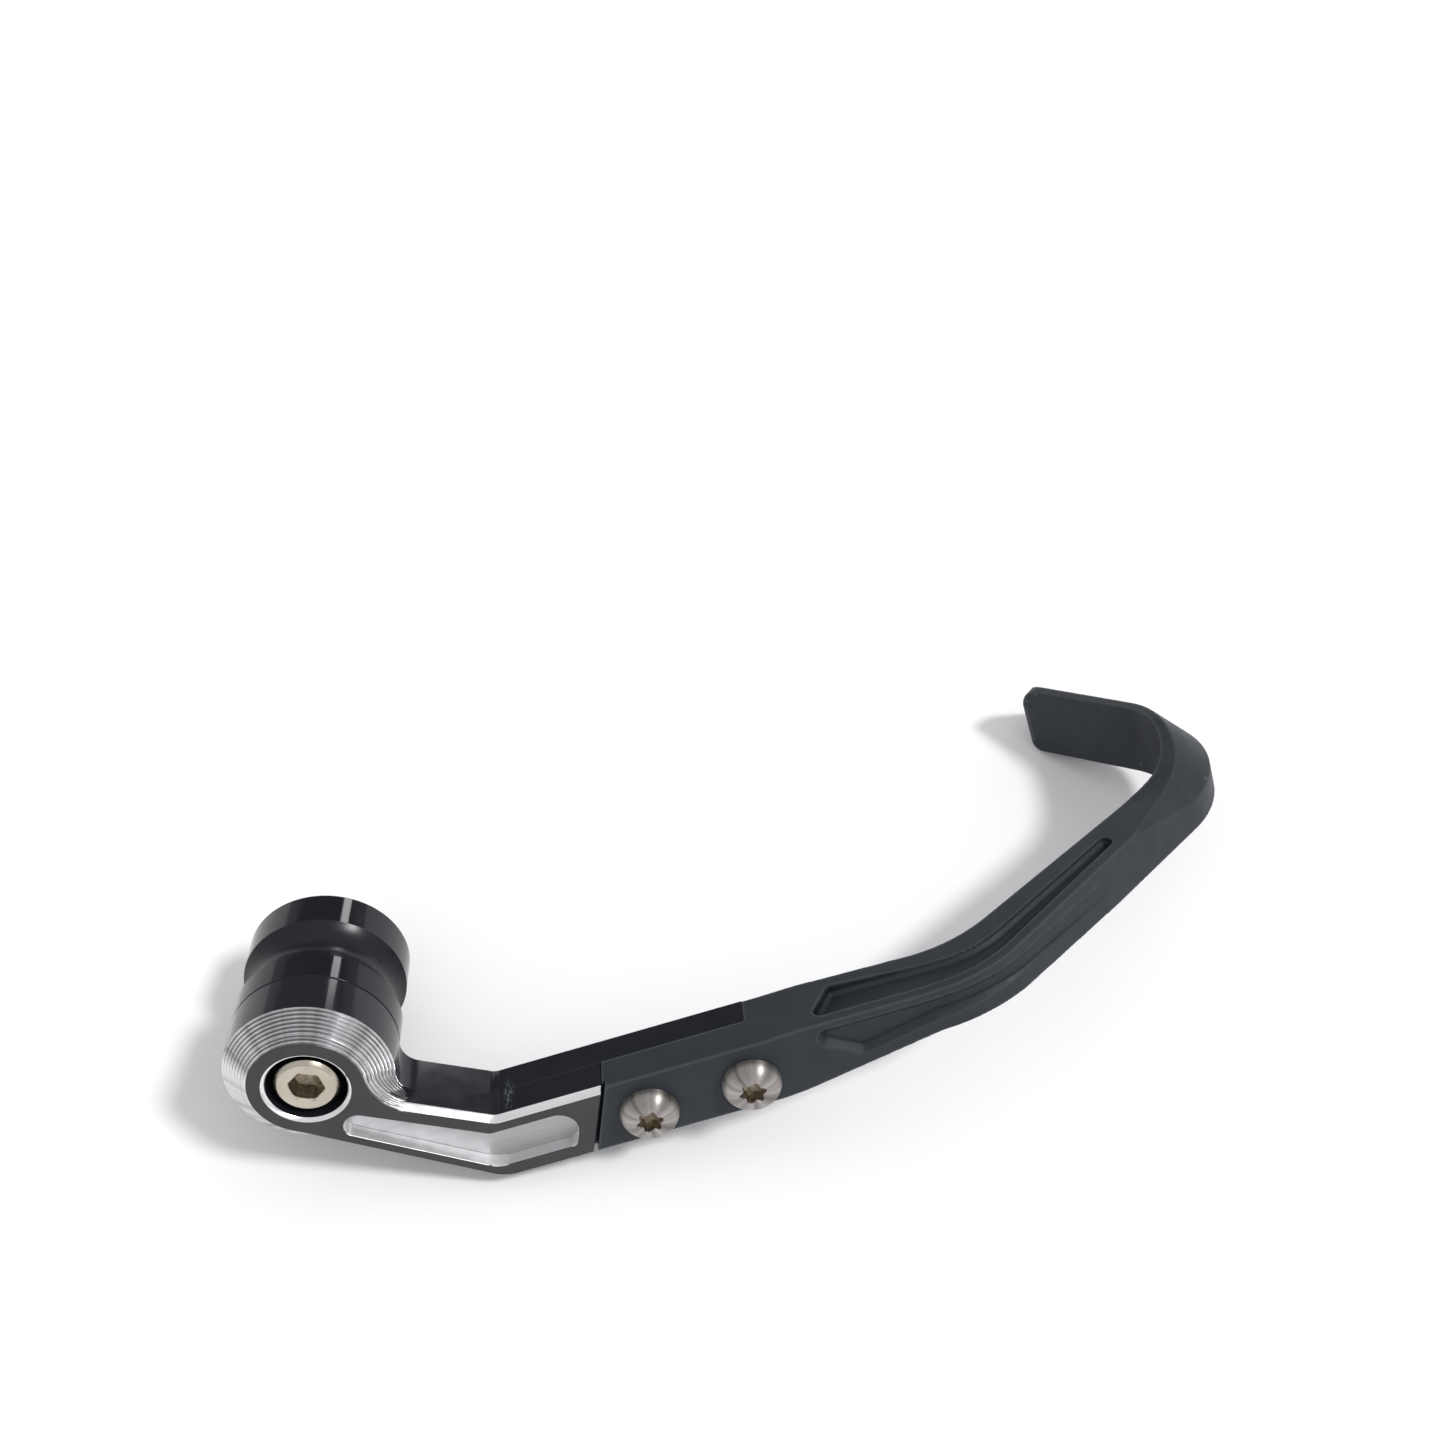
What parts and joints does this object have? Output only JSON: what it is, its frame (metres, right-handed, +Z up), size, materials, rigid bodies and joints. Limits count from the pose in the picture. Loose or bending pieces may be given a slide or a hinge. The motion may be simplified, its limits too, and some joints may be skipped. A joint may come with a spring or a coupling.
{
  "type": "brake lever guard",
  "caption": "Bar-end lever guard: machined hub and cranked arm on a waisted barrel with a bolt, carrying a bent, channelled blade that ends in a hooked paddle.",
  "frame": {"origin": "on the bolt axis where the free thread begins, half a millimetre past the seat of the barrel's end boss", "axes": "+Y along the bolt into the handlebar, +X forward along the blade, +Z up with the blade level"},
  "size_m": [0.2124, 0.0996, 0.0537],
  "materials": {
    "hub_arm": "dark anodised satin with bright machined cone, chamfer and pocket",
    "guard_blade": "matte slate moulding",
    "bar_end_barrel": "glossy black anodised",
    "bar_bolt": "nickel plated",
    "blade_screws": "bright stainless"
  },
  "bodies": {
    "root": {"hub_arm": "hub_arm", "guard_blade": "guard_blade", "bar_end_barrel": "bar_end_barrel", "bar_bolt": "bar_bolt", "blade_screws": "blade_screws"}
  },
  "joints": []
}
